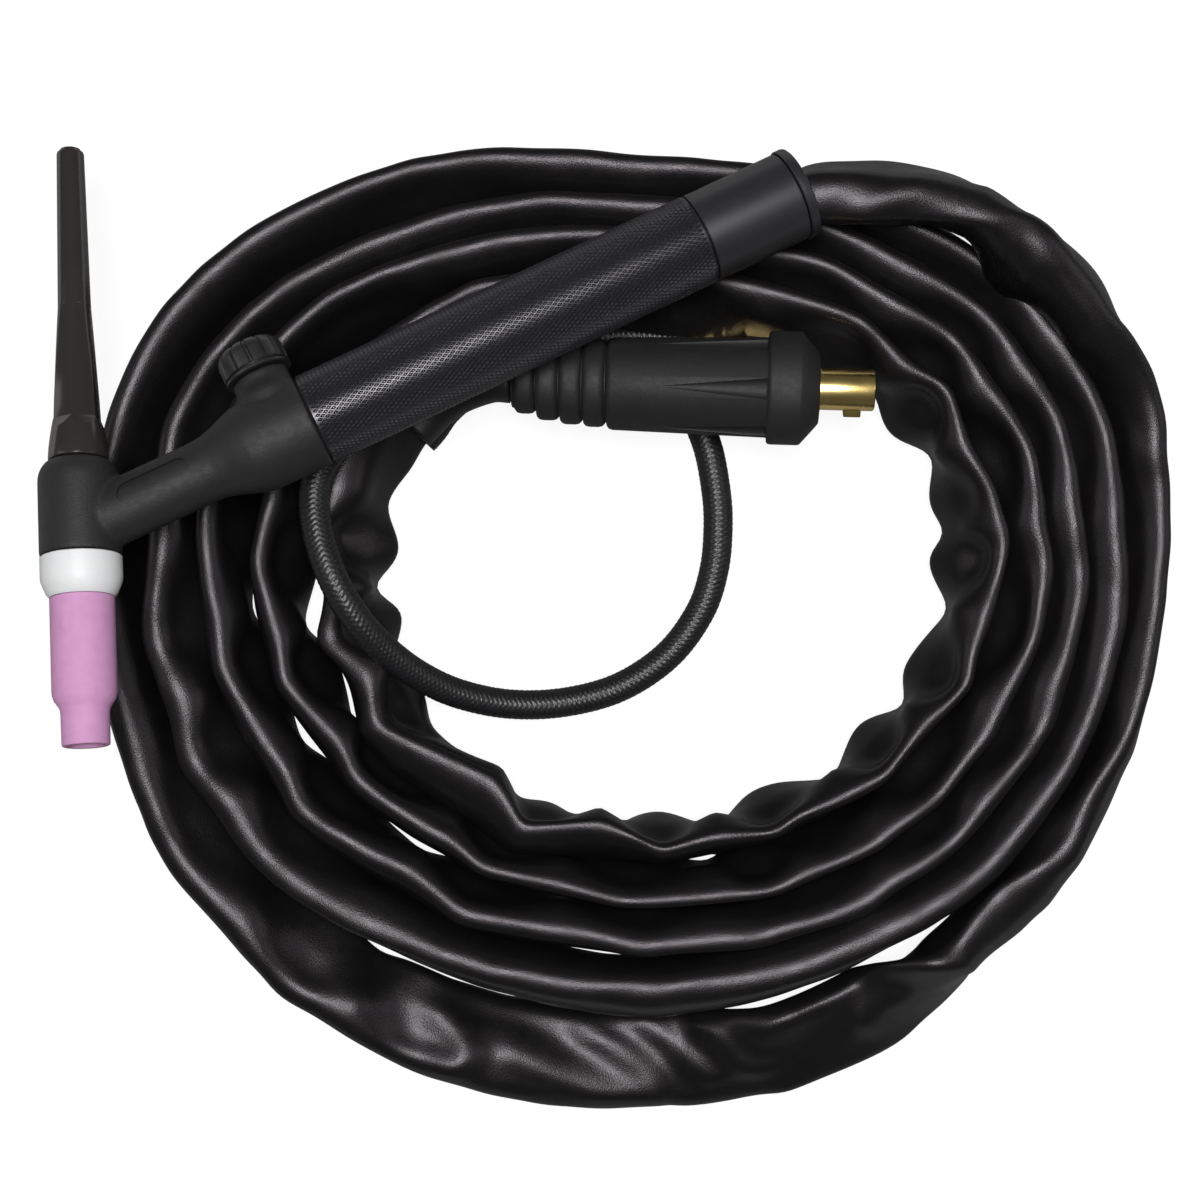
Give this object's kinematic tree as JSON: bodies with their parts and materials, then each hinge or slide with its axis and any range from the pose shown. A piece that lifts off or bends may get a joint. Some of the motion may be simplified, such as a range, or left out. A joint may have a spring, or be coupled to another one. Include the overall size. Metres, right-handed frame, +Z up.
{
  "type": "tig welding torch",
  "caption": "Gas-valve TIG torch with long back cap, ceramic cup and knurled handle, on its coiled flat cable sleeve with gas hose and bayonet power plug.",
  "frame": {"origin": "on the flat underside of the coil's outer turn, at its +X side", "axes": "+Z up from the surface that the coil lies on; +X from the torch head's side towards the handle's rear; +Y from the cup's side towards the back cap's side"},
  "size_m": [0.3421, 0.3026, 0.0834],
  "materials": {
    "body_rubber": "matte moulded, fine grain",
    "plug_rubber": "matte moulded",
    "cable_rubber": "matte",
    "seal_rubber": "satin",
    "knob_plastic": "satin moulded",
    "gloss_plastic": "gloss",
    "white_plastic": "smooth matte",
    "pink_ceramic": "unglazed sintered alumina",
    "anodised_aluminium": "black anodised, knurled or satin turned",
    "brass": "turned, bright",
    "copper": "drawn copper",
    "sleeve_leather": "satin black synthetic leather",
    "braid": "woven black braid"
  },
  "bodies": {
    "root": {"torch_body": "body_rubber", "head_core": "brass", "neck_tube": "copper", "valve_block": "brass", "valve_gland": "brass", "collet_body": "brass", "collet": "copper", "handle_tube": "anodised_aluminium", "handle_collar": "anodised_aluminium", "handle_end_ring": "anodised_aluminium", "cable_adapter": "brass", "hose_barb": "brass", "handle_cable": "cable_rubber", "handle_hose": "cable_rubber", "sleeve_lead": "sleeve_leather", "sleeve_coil": "sleeve_leather", "power_cable": "cable_rubber", "gas_hose": "braid", "hose_ferrule": "brass", "hose_tail": "brass", "plug_body": "plug_rubber", "plug_pin": "brass", "plug_cable": "cable_rubber", "plug_cable_ferrule": "copper", "plug_screw": "brass"},
    "cap_seal": {"back_cap_oring": "seal_rubber"},
    "cap": {"back_cap": "gloss_plastic"},
    "gasket": {"cup_gasket": "white_plastic"},
    "cup": {"ceramic_cup": "pink_ceramic"},
    "valve_seal": {"valve_oring": "seal_rubber"},
    "valve": {"valve_knob": "knob_plastic", "valve_stem": "brass"},
    "union_nut": {"hose_nut": "brass"}
  },
  "joints": [
    {"name": "cap_travel", "type": "slide", "parent": "root", "child": "cap_seal", "axis": [-0.0765, 0.9798, -0.1845], "range_m": [0, 0.00801]},
    {"name": "cap_turn", "type": "hinge", "parent": "cap_seal", "child": "cap", "pos_m": [-0.31179, 0.04127, 0.06111], "axis": [-0.0765, 0.9798, -0.1845], "range_deg": [0, 2880]},
    {"name": "cup_travel", "type": "slide", "parent": "root", "child": "gasket", "axis": [0.0765, -0.9798, 0.1845], "range_m": [0, 0.00401]},
    {"name": "cup_turn", "type": "hinge", "parent": "gasket", "child": "cup", "pos_m": [-0.30888, 0.00404, 0.06812], "axis": [0.0765, -0.9798, 0.1845], "range_deg": [0, 900]},
    {"name": "valve_travel", "type": "slide", "parent": "root", "child": "valve_seal", "axis": [-0.4445, 0.8809, -0.1627], "range_m": [0, 0.00151]},
    {"name": "valve_turn", "type": "hinge", "parent": "valve_seal", "child": "valve", "pos_m": [-0.25718, 0.06281, 0.05657], "axis": [-0.4445, 0.8809, -0.1627], "range_deg": [0, 540]},
    {"name": "union_nut_spin", "type": "hinge", "parent": "root", "child": "union_nut", "pos_m": [-0.10766, 0.07883, 0.0072], "axis": [0.9863, -0.165, 0], "continuous": true}
  ],
  "couplings": [
    {"joint": "cap_travel", "follows": "cap_turn", "m_per_rad": 0.00015915},
    {"joint": "cup_travel", "follows": "cup_turn", "m_per_rad": 0.00025465},
    {"joint": "valve_travel", "follows": "valve_turn", "m_per_rad": 0.00015915}
  ]
}
